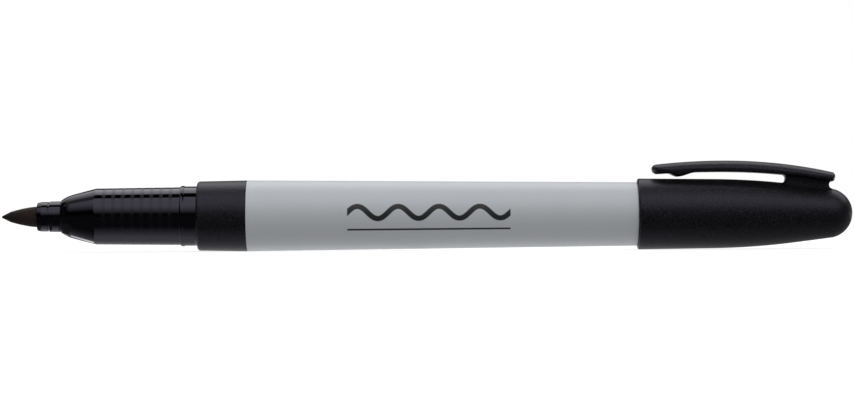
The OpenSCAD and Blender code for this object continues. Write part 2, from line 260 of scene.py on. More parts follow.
# %% The stepped holder
HOLDER_FRONT_R, HOLDER_FRONT_LEN = 2.475, 1.83
HOLDER_GROOVE = 0.2
HOLDER_WALL = 0.35
LEAD_LEN, LEAD_DROP, LEAD_EDGE = 0.8, 0.16, 0.6
BULGE, BULGE_RUN = 0.03, 0.3
BORE_EDGE, FACE_EDGE, RING_EDGE, GROOVE_EDGE = 0.06, 0.12, 0.05, 0.02
holder_r = radius["nib_holder"]
holder_bore = nib_r + FIT_GAP
holder_tail_r = holder_bore + HOLDER_WALL
holder_end = front["section"] - FIT_GAP
groove = front["nib_holder"] + HOLDER_FRONT_LEN
holder = turned("nib_holder_sleeve", softened([
    (back["nib_holder"], holder_bore, 0),
    (front["nib_holder"], holder_bore, BORE_EDGE),
    (front["nib_holder"], HOLDER_FRONT_R - LEAD_DROP, FACE_EDGE),
    (front["nib_holder"] + LEAD_LEN, HOLDER_FRONT_R, LEAD_EDGE),
    (groove, HOLDER_FRONT_R, RING_EDGE),
    (groove, HOLDER_FRONT_R - HOLDER_GROOVE, GROOVE_EDGE),
    (groove + HOLDER_GROOVE, HOLDER_FRONT_R - HOLDER_GROOVE, GROOVE_EDGE),
    (groove + HOLDER_GROOVE, holder_r - BULGE, RING_EDGE),
    (holder_end - BULGE_RUN, holder_r, BULGE_RUN),
    (holder_end, holder_r - BULGE, BULGE),
    (holder_end, holder_tail_r, 0),
    (back["nib_holder"], holder_tail_r, 0)]))

# %% [markdown]
# ## Front section
# The glossy front is one moulding: a nose, a grip with fine ribbed rings, a snap bead for the cap and a
# plain land that the cap seats round. The nose is nearly a cone, with a round shoulder at its front. The
# rings are only a hundredth of a millimetre deep, but a polished surface shows them.

# %% The nose: a shoulder and a flank
NOSE_LEN, SHOULDER_LEN = 5.85, 1.8
TIP_SLOPE, SHOULDER_SLOPE, CREASE_SLOPE = 38, 15.5, 13.5
GRIP_FRONT_R, GRIP_REAR_R = 4.67, 4.82
crease = front["section"] + NOSE_LEN


def rounded_run(end, length, steep, flat, steps):
    """An arc that ends at a point of the outline and takes a given length of it, while its slope falls from
    steep to flat, in degrees: its size is the length over the difference of the slopes' sines."""
    size = length / (math.sin(math.radians(steep)) - math.sin(math.radians(flat)))
    below = size * np.array([math.sin(math.radians(flat)), -math.cos(math.radians(flat))])
    return arc(end + below, size, 90 + steep, 90 + flat, steps)


crease_point = np.array([crease, GRIP_FRONT_R])
flank = rounded_run(crease_point, NOSE_LEN - SHOULDER_LEN, SHOULDER_SLOPE, CREASE_SLOPE, steps=24)
shoulder = rounded_run(flank[0], SHOULDER_LEN, TIP_SLOPE, SHOULDER_SLOPE, steps=24)
nose = np.concatenate([shoulder, flank[1:]])
print("nose front", round(2 * nose[0, 1], 2), "mm across")

# %% The grip's rings, bead and land
RING_COUNT, RING_PITCH, RING_WIDTH, RING_DEPTH, RING_START = 8, 1.583, 0.6, 0.012, 1.22
BEAD_WIDTH, BEAD_HEIGHT, LAND_LEN = 0.7, 0.1, 2.04
bead_r = radius["section"]
LAND_R = bead_r - BEAD_HEIGHT
land_start = collar_face - LAND_LEN
bead_x = land_start - BEAD_WIDTH / 2
grip_end = land_start - BEAD_WIDTH
grip_slope = (GRIP_REAR_R - GRIP_FRONT_R) / (grip_end - crease)
ring_starts = crease + RING_START + RING_PITCH * np.arange(RING_COUNT)
ring_share = np.linspace(0, 1, 13)
ring_sink = RING_DEPTH * (0.5 - 0.5 * np.cos(2 * np.pi * ring_share))
ring_x = (ring_starts[:, None] + RING_WIDTH * ring_share).ravel()
rings = np.stack([ring_x, GRIP_FRONT_R + grip_slope * (ring_x - crease) - np.tile(ring_sink, RING_COUNT)], 1)

bead_size = (BEAD_HEIGHT ** 2 + BEAD_WIDTH ** 2 / 4) / (2 * BEAD_HEIGHT)
bead_half = math.degrees(math.asin(BEAD_WIDTH / 2 / bead_size))
bead = arc((0, bead_r - bead_size), bead_size, 90 + bead_half, 90 - bead_half, steps=12)
print(RING_COUNT, "rings; land", round(2 * LAND_R, 2), "mm across")

# %% The section's whole outline
NOSE_BORE_R = holder_tail_r + FIT_GAP
CHAMBER_R, TAIL_R, NOSE_LIP = 3.0, 4.57, 0.06
seat_r = radius["reservoir_film"] + FIT_GAP
chamber_start = back["nib_holder"] + HOLDER_WALL
reservoir_step = front["ink_reservoir"] - FIT_GAP
inside = [
    (collar_face, LAND_R), (collar_face, TAIL_R), (back["section"], TAIL_R), (back["section"], seat_r),
    (reservoir_step, seat_r), (reservoir_step, CHAMBER_R), (chamber_start, CHAMBER_R),
    (chamber_start, NOSE_BORE_R), (front["section"], NOSE_BORE_R)]
nose_lip = [(front["section"], nose[0, 1] - NOSE_LIP)]
grip_edge = [(grip_end, GRIP_REAR_R)]
section = turned("glossy_section", np.concatenate([
    nose_lip, nose[1:], rings, grip_edge, bead + (bead_x, 0), inside]))

# %% [markdown]
# ## Collar and barrel
# The matte collar and the grey tube are plain rings with fine softened edges. The tube tapers evenly to
# the rear. Where two mouldings meet, the softened edges leave the thin dark line of a real joint.

# %% The collar and the barrel
COLLAR_FRONT_R = 5.78
BARREL_REAR_R = 5.29
COLLAR_FRONT_EDGE, COLLAR_REAR_EDGE = 0.48, 0.07
BARREL_FRONT_EDGE, BARREL_REAR_EDGE = 0.06, 0.15
tube_bore = TAIL_R + FIT_GAP
collar = turned("matte_collar", softened([
    (front["collar"], tube_bore, RING_EDGE),
    (front["collar"], COLLAR_FRONT_R, COLLAR_FRONT_EDGE),
    (back["collar"], radius["collar"], COLLAR_REAR_EDGE),
    (back["collar"], tube_bore, 0)], steps=9))
barrel = turned("grey_barrel", softened([
    (front["barrel"], tube_bore, 0),
    (front["barrel"], radius["barrel"], BARREL_FRONT_EDGE),
    (back["barrel"], BARREL_REAR_R, BARREL_REAR_EDGE),
    (back["barrel"], tube_bore, 0)], steps=7), sides=256)

# %% [markdown]
# ## Tail plug
# A plug closes the tube's rear and carries the posted cap on a spigot with the same snap bead. It only
# shows when the cap is pulled, and then it is looked at closely, so it gets the same care.

# %% The plug with its spigot
PLUG_WALL, PLUG_SEAT, SPIGOT_END_WALL, SPIGOT_EDGE = 1.35, 2.0, 1.2, 0.6
plug_in_r = TAIL_R - PLUG_WALL
plug_shoulder = back["barrel"] + FIT_GAP
spigot_end = back["tail_plug"]
hollow_end = spigot_end - SPIGOT_END_WALL
ledge = front["tail_plug"] + PLUG_SEAT + FIT_GAP
spigot_bead = bead + (mouth + collar_face - bead_x, 0)
plug = turned("tail_plug_moulding", np.concatenate([
    [(spigot_end, 0)],
    arc((spigot_end - SPIGOT_EDGE, LAND_R - SPIGOT_EDGE), SPIGOT_EDGE, 0, 90),
    spigot_bead[::-1],
    [(plug_shoulder, LAND_R), (plug_shoulder, TAIL_R), (front["tail_plug"], TAIL_R),
     (front["tail_plug"], seat_r), (ledge, seat_r), (ledge, plug_in_r), (hollow_end, plug_in_r),
     (hollow_end, 0)]]), tube=False)

# %% [markdown]
# ## Cap
# The cap's side starts almost straight, bends in along one very long arc and ends in a dome. The dome's
# size isn't chosen: it is the ball that touches the straight flank and reaches the cap's end. The inside
# is a bore for the snap bead, a funnel and a seat for the liner.

# %% The cap's outside
CAP_DRAFT, CAP_SLOPE = math.radians(0.63), math.radians(7.1)
CAP_BEND, CAP_CURVE_R, CAP_LIP = 12.8, 119.0, 0.3
cap_len = back["cap_shell"] - mouth
cap_r = radius["cap_shell"]
bend_r = cap_r - CAP_BEND * math.tan(CAP_DRAFT)
flank_depth = CAP_BEND + CAP_CURVE_R * (math.sin(CAP_SLOPE) - math.sin(CAP_DRAFT))
flank_r = bend_r - CAP_CURVE_R * (math.cos(CAP_DRAFT) - math.cos(CAP_SLOPE))
end_len = cap_len - flank_depth
dome_r = (flank_r * math.cos(CAP_SLOPE) - math.sin(CAP_SLOPE) * end_len) / (1 - math.sin(CAP_SLOPE))
dome = arc((cap_len - dome_r, 0), dome_r, 0, 90 - math.degrees(CAP_SLOPE), steps=48)
side_centre = (CAP_BEND - CAP_CURVE_R * math.sin(CAP_DRAFT), bend_r - CAP_CURVE_R * math.cos(CAP_DRAFT))
side = arc(side_centre, CAP_CURVE_R, 90 - math.degrees(CAP_SLOPE), 90 - math.degrees(CAP_DRAFT), steps=40)
lip = arc((CAP_LIP, cap_r - CAP_LIP), CAP_LIP, 90, 180, steps=10)
cap_outside = np.concatenate([dome, side, lip])
print("dome radius", round(dome_r, 2), "mm")

# %% The cap's inside, and the whole cap
CAP_BORE_R = bead_r + RUN_GAP
LINER_BEND, CAVITY_END_R = 27.2, 2.94
MOUTH_EDGE, FUNNEL_LEAD = 0.12, 1.0
funnel_start = collar_face - crease - FUNNEL_LEAD
liner_lip = front["inner_cap"] - mouth
cavity_end = back["inner_cap"] - mouth + RUN_GAP
liner_seat_r = radius["inner_cap"] + RUN_GAP
cap_inside = np.concatenate([
    arc((MOUTH_EDGE, CAP_BORE_R + MOUTH_EDGE), MOUTH_EDGE, 180, 270, steps=6),
    [(funnel_start, CAP_BORE_R), (liner_lip - RUN_GAP, liner_seat_r), (LINER_BEND, liner_seat_r),
     (cavity_end, CAVITY_END_R), (cavity_end, 0)]])
cap = turned("cap_moulding", np.concatenate([cap_outside, cap_inside]) + (mouth, 0), tube=False)

# %% [markdown]
# ## Liner
# A thin liner inside the cap seals on the nose so that the felt doesn't dry. It is seen only by looking
# into the open cap.

# %% The inner cap
LINER_WALL, LINER_LIP = 0.6, 0.2
liner_r = radius["inner_cap"]
liner_end_r = CAVITY_END_R - RUN_GAP
slant_end = back["inner_cap"] - LINER_WALL
liner = turned("inner_cap_liner", np.concatenate([
    [(back["inner_cap"], 0), (back["inner_cap"], liner_end_r), (mouth + LINER_BEND, liner_r),
     (front["inner_cap"] + LINER_LIP, liner_r)],
    arc((front["inner_cap"] + LINER_WALL / 2, liner_r - LINER_WALL / 2), LINER_WALL / 2, 90, 270, steps=12),
    [(mouth + LINER_BEND, liner_r - LINER_WALL), (slant_end, liner_end_r - LINER_WALL), (slant_end, 0)]]),
    tube=False)

# %% [markdown]
# ## Clip strap
# The clip is a springy strap moulded with the cap. It follows a shallow arch, is well crowned on top and flat
# below, narrows a little to a round tip and carries a pip that grips a pocket. A D-shaped section carried
# along the arch gives all of that. The strap crosses the flexing joint and is one mesh.

# %% The strap's arch, thickness and pip
ARCH_R, ARCH_FRONT_R, ARCH_CREST = 81.3, 100.0, 14.33
STRAP_T, THICKEST_AT, THIN_RUN, THIN_FRONT, THIN_REAR = 1.95, 16.0, 13.5, 0.36, 0.26
PIP_AT, PIP_RUN_FRONT, PIP_RUN_BACK, PIP_H = 6.55, 1.65, 3.2, 0.6
crest_z = cad_high.z / MM - AXIS


def strap_top(depth):
    """Height of the strap's top above the axis: a point on the arch's circle, flatter before the crest."""
    size = np.where(depth < ARCH_CREST, ARCH_FRONT_R, ARCH_R)
    return crest_z - size + np.sqrt(size ** 2 - (depth - ARCH_CREST) ** 2)


def strap_thickness(depth):
    """Thickest a little behind the crest, and thinner by the square of the distance from there."""
    loss = np.where(depth < THICKEST_AT, THIN_FRONT, THIN_REAR)
    return STRAP_T - loss * ((depth - THICKEST_AT) / THIN_RUN) ** 2


def pip(depth):
    """A raised cosine with a steep front and a longer back: height times (1 + cos) / 2."""
    run = np.where(depth < PIP_AT, PIP_RUN_FRONT, PIP_RUN_BACK)
    return PIP_H * (0.5 + 0.5 * np.cos(np.pi * np.clip((depth - PIP_AT) / run, -1, 1)))


print("strap's crest", round(crest_z, 2), "mm above the axis")

# %% The strap's section along its arch
STRAP_TIP, STRAP_REAR = 2.37, 32.95
TIP_HALF_W, ROOT_HALF_W = 2.5, 2.9
CROWN, CROWN_RUN, BELLY_POWER = 0.68, 3.0, 0.4
TIP_ROUND, REAR_ROUND, REAR_CORNER = 0.85, 0.6, 0.8


def end_swell(distance, size):
    """Grows from 0 to 1 like a quarter circle over a rounded end of that size."""
    return np.sqrt(1 - (1 - np.clip(distance / size, 0, 1)) ** 2)


def strap_rings(stations=220, sides=72):
    """Rings of a rounded D: half an ellipse above, and below it cos(u)^0.4 across by sin(u)^0.4 down, nearly
    a rectangle. The ellipse takes the crown's share of the thickness, which falls to a half at both ends."""
    spread = 0.5 - 0.5 * np.cos(np.pi * np.linspace(0, 1, stations))
    depth = (STRAP_TIP + (STRAP_REAR - STRAP_TIP) * spread)[:, None]
    u = 2 * np.pi * np.arange(sides) / sides
    above = np.sin(u) > 0
    power = np.where(above, 1.0, BELLY_POWER)
    across = np.sign(np.cos(u)) * np.abs(np.cos(u)) ** power
    upward = np.sign(np.sin(u)) * np.abs(np.sin(u)) ** power
    share = (depth - STRAP_TIP) / (STRAP_REAR - STRAP_TIP)
    half_w = TIP_HALF_W + (ROOT_HALF_W - TIP_HALF_W) * share
    half_w = half_w * end_swell(depth - STRAP_TIP, TIP_HALF_W) * end_swell(STRAP_REAR - depth, REAR_CORNER)
    full_t = strap_thickness(depth)
    half_t = full_t / 2 * end_swell(depth - STRAP_TIP, TIP_ROUND) * end_swell(STRAP_REAR - depth, REAR_ROUND)
    lean = (depth - ARCH_CREST) / ARCH_R
    crown_at = (STRAP_TIP, STRAP_TIP + CROWN_RUN, STRAP_REAR - CROWN_RUN, STRAP_REAR)
    crown = np.interp(depth, crown_at, (0.5, CROWN, CROWN, 0.5))
    rise = half_t * upward * np.where(above, 2 * crown, 2 - 2 * crown) - pip(depth) * np.clip(-upward, 0, 1)
    middle = strap_top(depth) - full_t * crown
    place = (mouth + depth + rise * lean, half_w * across, AXIS + middle + rise)
    return np.stack(np.broadcast_arrays(*place), -1)


strap = skin("clip_strap", strap_rings(), tube=False)

# %% [markdown]
# ## Web
# A narrower web ties the strap's rear to the cap. Its ends flare into the strap and the cap with small
# fillets, which makes the round end of the slot and the notch behind it.

# %% The cap under the web, and the fillets
WEB_FRONT, WEB_REAR, WEB_HALF_W = 24.6, 31.95, 1.4


def cap_radius(depth):
    """Radius of the cap's outside at a depth, read off its outline."""
    order = np.argsort(cap_outside[:, 0])
    return np.interp(depth, cap_outside[order, 0], cap_outside[order, 1])


def flare(distance, size):
    """How far a quarter-circle fillet stands out at a distance from the face it runs into."""
    return size - np.sqrt(size ** 2 - (size - np.clip(distance, 0, size)) ** 2)


print("cap's radius under the web", cap_radius([WEB_FRONT, WEB_REAR]).round(2), "mm")

# %% The web under the strap
FILLET_ENDS, FILLET_SIDE = 0.52, 0.2
WEB_SINK = 0.4
WEB_POWER = 1 / 3


def web_rings(stations=64, sides=96):
    """Upright rounded rectangles, cos(u)^(1/3) by sin(u)^(1/3), stacked from inside the cap up into the
    strap. Close to the cap and to the strap each rectangle grows by the fillets' flare."""
    share = np.linspace(0, 1, stations)[:, None]
    u = 2 * np.pi * np.arange(sides) / sides
    across = np.sign(np.sin(u)) * np.abs(np.sin(u)) ** WEB_POWER
    along = np.sign(np.cos(u)) * np.abs(np.cos(u)) ** WEB_POWER

    def foot(depth):
        """The web's bottom, a little below the cap's skin."""
        return cap_radius(depth) - WEB_SINK

    def head(depth):
        """The web's top, a little above the strap's underside."""
        return strap_top(depth) - strap_thickness(depth) + WEB_SINK

    def grown(depth, size):
        """The flare of both fillets at each height of the stack."""
        tall = head(depth) - foot(depth)
        return flare(share * tall - WEB_SINK, size) + flare((1 - share) * tall - WEB_SINK, size)

    start = WEB_FRONT - grown(WEB_FRONT, FILLET_ENDS)
    end = WEB_REAR + grown(WEB_REAR, FILLET_ENDS)
    closed = np.where((share == 0) | (share == 1), 0.0, 1.0)
    depth = (start + end) / 2 + (end - start) / 2 * along * closed
    y = (WEB_HALF_W + grown((WEB_FRONT + WEB_REAR) / 2, FILLET_SIDE)) * across * closed
    z = AXIS + foot(depth) + share * (head(depth) - foot(depth))
    return np.stack(np.broadcast_arrays(mouth + depth, y, z), -1)


web = skin("clip_web", web_rings(), tube=False)

# %% [markdown]
# ## Materials: shared tools
# A colour is written as the sRGB hex value that a picture shows and turned to the linear value that the
# shader needs. One function adds any node, sets it and links it. Patterns read Object coordinates scaled
# to millimetres, so their sizes are real sizes.


# %% Colour and node helpers
def linear(hex_colour):
    """sRGB to linear: each channel c becomes c / 12.92 below 0.04045 and ((c + 0.055) / 1.055)^2.4 above."""
    c = np.array([int(hex_colour[i:i + 2], 16) for i in (1, 3, 5)]) / 255
    return (*np.where(c <= 0.04045, c / 12.92, ((c + 0.055) / 1.055) ** 2.4).tolist(), 1.0)


def add(tree, kind, into=None, **settings):
    """Adds one shader node, sets its properties and gives each named input a value or a link. A node that is
    given as a value stands for its first output."""
    made = tree.nodes.new("ShaderNode" + kind)
    for name, value in settings.items():
        setattr(made, name, value)
    for socket, value in (into or {}).items():
        if isinstance(value, bpy.types.Node):
            value = value.outputs[0]
        if isinstance(value, bpy.types.NodeSocket):
            tree.links.new(value, made.inputs[socket])
        else:
            made.inputs[socket].default_value = value
    return made


def new_material(name):
    """An empty material with its node tree, and Object coordinates in millimetres."""
    material = bpy.data.materials.new(name)
    material.use_nodes = True
    tree = material.node_tree
    tree.nodes.clear()
    place = add(tree, "TexCoord")
    in_mm = add(tree, "VectorMath", {0: place.outputs["Object"], 1: (1 / MM,) * 3}, operation="MULTIPLY")
    print("material", name)
    return material, tree, in_mm


print("mid grey is", [round(v, 3) for v in linear("#808080")])

# %% [markdown]
# ## Hard felt
# The nib is polyester felt bonded hard with resin, ground to shape and soaked in black ink. The grinding
# leaves the fibres' ends open, so it is dull, slightly brown-black and streaked along the rod.

# %% Ground ink-soaked felt
FELT_FIBRE, FELT_STRETCH, FELT_MOTTLE, FELT_RELIEF = 0.09, 9.0, 0.5, 0.03
WET_TIP = 0.5
MIX_LOW, MIX_HIGH, FIBRE_DARK, FIBRE_LIGHT = 0.12, 0.42, 0.5, 1.5
felt, tree, mm = new_material("felt_polyester_ground_inked")
streak_place = add(tree, "VectorMath", {0: mm, 1: (1 / FELT_STRETCH, 1, 1)}, operation="MULTIPLY")
streaks = add(tree, "TexNoise", {
    "Vector": streak_place, "Scale": 1 / FELT_FIBRE, "Detail": 3.0, "Roughness": 0.6})
mottle = add(tree, "TexNoise", {"Vector": mm, "Scale": 1 / FELT_MOTTLE, "Detail": 2.0})
mix = add(tree, "Math", {0: streaks, 1: mottle}, operation="MULTIPLY")
x = add(tree, "SeparateXYZ", {0: mm}).outputs["X"]
dryness = add(tree, "MapRange", {0: x, 1: front["nib"] + WET_TIP, 2: front["nib_holder"]})
brown = add(tree, "Mix", {0: dryness, 6: linear("#090606"), 7: linear("#2b1917")}, data_type="RGBA")
shine = add(tree, "MapRange", {0: mix, 1: MIX_LOW, 2: MIX_HIGH, 3: FIBRE_DARK, 4: FIBRE_LIGHT})
colour = add(tree, "VectorMath", {0: brown.outputs[2], "Scale": shine}, operation="SCALE")
bump = add(tree, "Bump", {"Height": streaks, "Strength": 0.5, "Distance": FELT_RELIEF * MM})
shader = add(tree, "BsdfPrincipled", {
    "Base Color": colour, "Roughness": 0.85, "IOR": 1.45, "Specular IOR Level": 0.3,
    "Sheen Weight": 0.1, "Sheen Roughness": 0.5, "Normal": bump})
add(tree, "OutputMaterial", {0: shader})

# %% [markdown]
# ## Polished polypropylene
# The front section comes from a polished mould, so it mirrors the studio. The mould's rings were turned with
# a fine tool and not polished: their fine ribs run round the grip and smear the mirror image, mostly along
# the axis, which breaks the bright edge into short pieces. The smear is an anisotropic roughness with its
# tangent round the axis. Where it applies is a mask worked out from the distance along the axis, in steps of
# the rings' pitch.

# %% Polished black plastic with ribbed rings
RING_HAZE = 0.32
POLISH = 0.07
RIB_SMEAR, SMEAR_TURN = 0.6, 0.25
RIPPLE, RIPPLE_DEPTH = 3.0, 0.01
gloss, tree, mm = new_material("polypropylene_polished_black")
x = add(tree, "SeparateXYZ", {0: mm}).outputs["X"]
from_first = add(tree, "Math", {0: x, 1: float(ring_starts[0])}, operation="SUBTRACT")
in_pitch = add(tree, "Math", {0: from_first, 1: RING_PITCH}, operation="FLOORED_MODULO")
in_ring = add(tree, "Math", {0: in_pitch, 1: RING_WIDTH}, operation="LESS_THAN")
after_first = add(tree, "Math", {0: from_first, 1: 0.0}, operation="GREATER_THAN")
before_last = add(tree, "Math", {
    0: from_first, 1: RING_PITCH * (RING_COUNT - 1) + RING_WIDTH}, operation="LESS_THAN")
on_grip = add(tree, "Math", {0: after_first, 1: before_last}, operation="MULTIPLY")
ring_mask = add(tree, "Math", {0: in_ring, 1: on_grip}, operation="MULTIPLY")
ripple = add(tree, "TexNoise", {"Vector": mm, "Scale": 1 / RIPPLE, "Detail": 1.0})
skin_bump = add(tree, "Bump", {"Height": ripple, "Strength": 0.2, "Distance": RIPPLE_DEPTH * MM})
round_axis = add(tree, "Tangent", direction_type="RADIAL", axis="X")
roughness = add(tree, "MapRange", {0: ring_mask, 3: POLISH, 4: RING_HAZE})
shader = add(tree, "BsdfPrincipled", {
    "Base Color": linear("#040405"), "Roughness": roughness, "IOR": 1.5,
    "Specular Tint": linear("#e7e2ff"), "Normal": skin_bump, "Anisotropic": RIB_SMEAR,
    "Anisotropic Rotation": SMEAR_TURN, "Tangent": round_axis})
add(tree, "OutputMaterial", {0: shader})

# %% [markdown]
# ## Spark-eroded polypropylene
# The cap, its clip and the collar have the fine matte grain of a spark-eroded mould. The grain scatters
# the studio into one broad soft band and shows as faint specks. Real grain is a few hundredths of a
# millimetre. It is drawn several times as coarse here so that it can be seen.

# %% Fine matte black plastic
GRAIN, GRAIN_DEPTH = 0.24, 0.055
SPECK_FROM, SPECK_TO = 0.4, 0.74
matte, tree, mm = new_material("polypropylene_spark_eroded_black")
grain = add(tree, "TexNoise", {"Vector": mm, "Scale": 1 / GRAIN, "Detail": 2.0, "Roughness": 0.6})
specks = add(tree, "MapRange", {0: grain, 1: SPECK_FROM, 2: SPECK_TO})
colour = add(tree, "Mix", {0: specks, 6: linear("#080809"), 7: linear("#252428")}, data_type="RGBA")
bump = add(tree, "Bump", {"Height": grain, "Strength": 0.7, "Distance": GRAIN_DEPTH * MM})
shader = add(tree, "BsdfPrincipled", {
    "Base Color": colour.outputs[2], "Roughness": 0.37, "IOR": 1.49, "Specular IOR Level": 0.34,
    "Specular Tint": linear("#e9e5ff"), "Normal": bump})
add(tree, "OutputMaterial", {0: shader})

# %% [markdown]
# ## Satin grey polypropylene with a print
# The barrel is extruded with a satin skin, in a pale neutral grey. Such a barrel is usually printed, so it
# carries a plain sample of the line that the marker draws: one wavy stroke with a thin rule below it. The
# stroke is a mask: how far a point lies from a sine wave, measured round the barrel and square to the wave,
# so that the stroke is equally thick all along.

# %% The print's mask
PRINT_HALF_LEN, PRINT_CENTRE = 13.5, 0.3
WAVE_LEN, WAVE_H, WAVE_LIFT, STROKE_HALF = 6.75, 1.05, 0.5, 0.46
RULE_DROP, RULE_HALF = 2.5, 0.17
PRINT_EDGE = 0.06
satin, tree, mm = new_material("polypropylene_satin_grey_printed")
x, y, z = add(tree, "SeparateXYZ", {0: mm}).outputs
along = add(tree, "Math", {0: x, 1: PRINT_CENTRE}, operation="SUBTRACT")
up = add(tree, "Math", {0: z, 1: AXIS}, operation="SUBTRACT")
outward = add(tree, "Math", {0: y, 1: -1.0}, operation="MULTIPLY")
angle = add(tree, "Math", {0: up, 1: outward}, operation="ARCTAN2")
height = add(tree, "Math", {0: angle, 1: radius["barrel"]}, operation="MULTIPLY")
phase = add(tree, "Math", {0: along, 1: 2 * math.pi / WAVE_LEN}, operation="MULTIPLY")
wave = add(tree, "Math", {0: phase}, operation="SINE")
wave_height = add(tree, "Math", {0: wave, 1: WAVE_H, 2: WAVE_LIFT}, operation="MULTIPLY_ADD")
off_wave = add(tree, "Math", {0: height, 1: wave_height}, operation="SUBTRACT")
steep = add(tree, "Math", {0: phase}, operation="COSINE")
slope = add(tree, "Math", {0: steep, 1: WAVE_H * 2 * math.pi / WAVE_LEN}, operation="MULTIPLY")
lean = add(tree, "Math", {0: slope}, operation="ARCTANGENT")
across = add(tree, "Math", {0: lean}, operation="COSINE")
above_wave = add(tree, "Math", {0: off_wave}, operation="ABSOLUTE")
far_wave = add(tree, "Math", {0: above_wave, 1: across}, operation="MULTIPLY")
off_rule = add(tree, "Math", {0: height, 1: RULE_DROP}, operation="ADD")
far_rule = add(tree, "Math", {0: off_rule}, operation="ABSOLUTE")
far_along = add(tree, "Math", {0: along}, operation="ABSOLUTE")
stroke, rule, in_length = (
    add(tree, "MapRange", {0: far, 1: half - PRINT_EDGE, 2: half + PRINT_EDGE, 3: 1.0, 4: 0.0})
    for far, half in ((far_wave, STROKE_HALF), (far_rule, RULE_HALF), (far_along, PRINT_HALF_LEN)))
either = add(tree, "Math", {0: stroke, 1: rule}, operation="MAXIMUM")
ink_mask = add(tree, "Math", {0: either, 1: in_length}, operation="MULTIPLY")
print("print", 2 * PRINT_HALF_LEN, "mm long")

# %% Satin grey plastic under the print
CLOUD, PORE, PORE_DEPTH = 4.0, 0.12, 0.01
tone = add(tree, "TexNoise", {"Vector": mm, "Scale": 1 / CLOUD, "Detail": 2.0})
plastic = add(tree, "Mix", {0: tone, 6: linear("#c6cacf"), 7: linear("#cacdd2")}, data_type="RGBA")
printed = add(tree, "Mix", {0: ink_mask, 6: plastic.outputs[2], 7: linear("#26272a")}, data_type="RGBA")
pores = add(tree, "TexNoise", {"Vector": mm, "Scale": 1 / PORE, "Detail": 2.0})
bump = add(tree, "Bump", {"Height": pores, "Strength": 0.12, "Distance": PORE_DEPTH * MM})
shader = add(tree, "BsdfPrincipled", {
    "Base Color": printed.outputs[2], "Roughness": 0.42, "IOR": 1.49, "Normal": bump})
add(tree, "OutputMaterial", {0: shader})
print("pores", PORE, "mm wide")

# %% [markdown]
# ## The hidden mouldings
# The plug is plain satin black plastic, the liner natural polyethylene that lets some light in, the
# reservoir ink-soaked fibre and its sleeve a thin clear film. They show only when the cap is pulled, or not
# at all, but each still gets its own finish.

# %% Satin black plug
PLUG_PORE, PLUG_SHINE, PLUG_DULL = 0.2, 0.28, 0.4
plug_black, tree, mm = new_material("polypropylene_satin_black")
pores = add(tree, "TexNoise", {"Vector": mm, "Scale": 1 / PLUG_PORE, "Detail": 2.0})
bump = add(tree, "Bump", {"Height": pores, "Strength": 0.2, "Distance": PORE_DEPTH * MM})
roughness = add(tree, "MapRange", {0: pores, 3: PLUG_SHINE, 4: PLUG_DULL})
shader = add(tree, "BsdfPrincipled", {
    "Base Color": linear("#17171a"), "Roughness": roughness, "IOR": 1.49, "Normal": bump})
add(tree, "OutputMaterial", {0: shader})

# %% Natural liner
MILKINESS, LIGHT_DEPTH = 2.5, 0.8
natural, tree, mm = new_material("polyethylene_natural_moulded")
milk = add(tree, "TexNoise", {"Vector": mm, "Scale": 1 / MILKINESS, "Detail": 2.0})
colour = add(tree, "Mix", {0: milk, 6: linear("#d6d6cf"), 7: linear("#e2e2dc")}, data_type="RGBA")
shader = add(tree, "BsdfPrincipled", {
    "Base Color": colour.outputs[2], "Roughness": 0.38, "IOR": 1.51, "Subsurface Weight": 0.3,
    "Subsurface Radius": (1, 1, 0.9), "Subsurface Scale": LIGHT_DEPTH * MM})
add(tree, "OutputMaterial", {0: shader})

# %% Ink-soaked fibre and its film
THREAD, THREAD_STRETCH, WRINKLE, WRINKLE_DEPTH = 0.15, 20.0, 1.5, 0.03
fibre, tree, mm = new_material("polyester_fibre_inked")
stretched = add(tree, "VectorMath", {0: mm, 1: (1 / THREAD_STRETCH, 1, 1)}, operation="MULTIPLY")
threads = add(tree, "TexNoise", {"Vector": stretched, "Scale": 1 / THREAD, "Detail": 2.0})
colour = add(tree, "Mix", {0: threads, 6: linear("#17171a"), 7: linear("#3c3c42")}, data_type="RGBA")
shader = add(tree, "BsdfPrincipled", {"Base Color": colour.outputs[2], "Roughness": 0.8, "IOR": 1.5})
add(tree, "OutputMaterial", {0: shader})

film, tree, mm = new_material("polyester_film_wrapped")
wrinkles = add(tree, "TexNoise", {"Vector": mm, "Scale": 1 / WRINKLE, "Detail": 2.0})
bump = add(tree, "Bump", {"Height": wrinkles, "Strength": 0.3, "Distance": WRINKLE_DEPTH * MM})
shader = add(tree, "BsdfPrincipled", {
    "Base Color": linear("#dfe2e5"), "Roughness": 0.12, "IOR": 1.57, "Normal": bump})
add(tree, "OutputMaterial", {0: shader})

# %% [markdown]
# ## Put each piece on its body
# A piece moves with the body it rides on, stands for the CAD solid it covers and names its material slot.
# The strap is different: it rides on no body but is baked in place, and it covers the clip's arm.

# %% Riding, replacing and slots
dressed = [
    (nib, felt, "body", "nib", "felt"),
    (holder, gloss, "body", "nib_holder", "glossy_black"),
    (section, gloss, "body", "section", "glossy_black"),
    (collar, matte, "body", "collar", "matte_black"),
    (barrel, satin, "body", "barrel", "satin_grey"),
    (plug, plug_black, "body", "tail_plug", "plug_black"),
    (liner, natural, "cap_liner", "inner_cap", "natural_liner"),
    (cap, matte, "cap", "cap_shell", "matte_black")]
for piece, material, body, solid, slot in dressed:
    piece.data.materials.append(material)
    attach(piece, body)
    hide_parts(solid)

web.data.materials.append(matte)
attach(web, "cap")

strap.data.materials.append(matte)
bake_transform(strap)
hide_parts("clip_arm")

for solid, material in (("ink_reservoir", fibre), ("reservoir_film", film)):
    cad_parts[solid].data.materials.clear()
    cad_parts[solid].data.materials.append(material)
print(len(dressed) + 2, "pieces dressed")
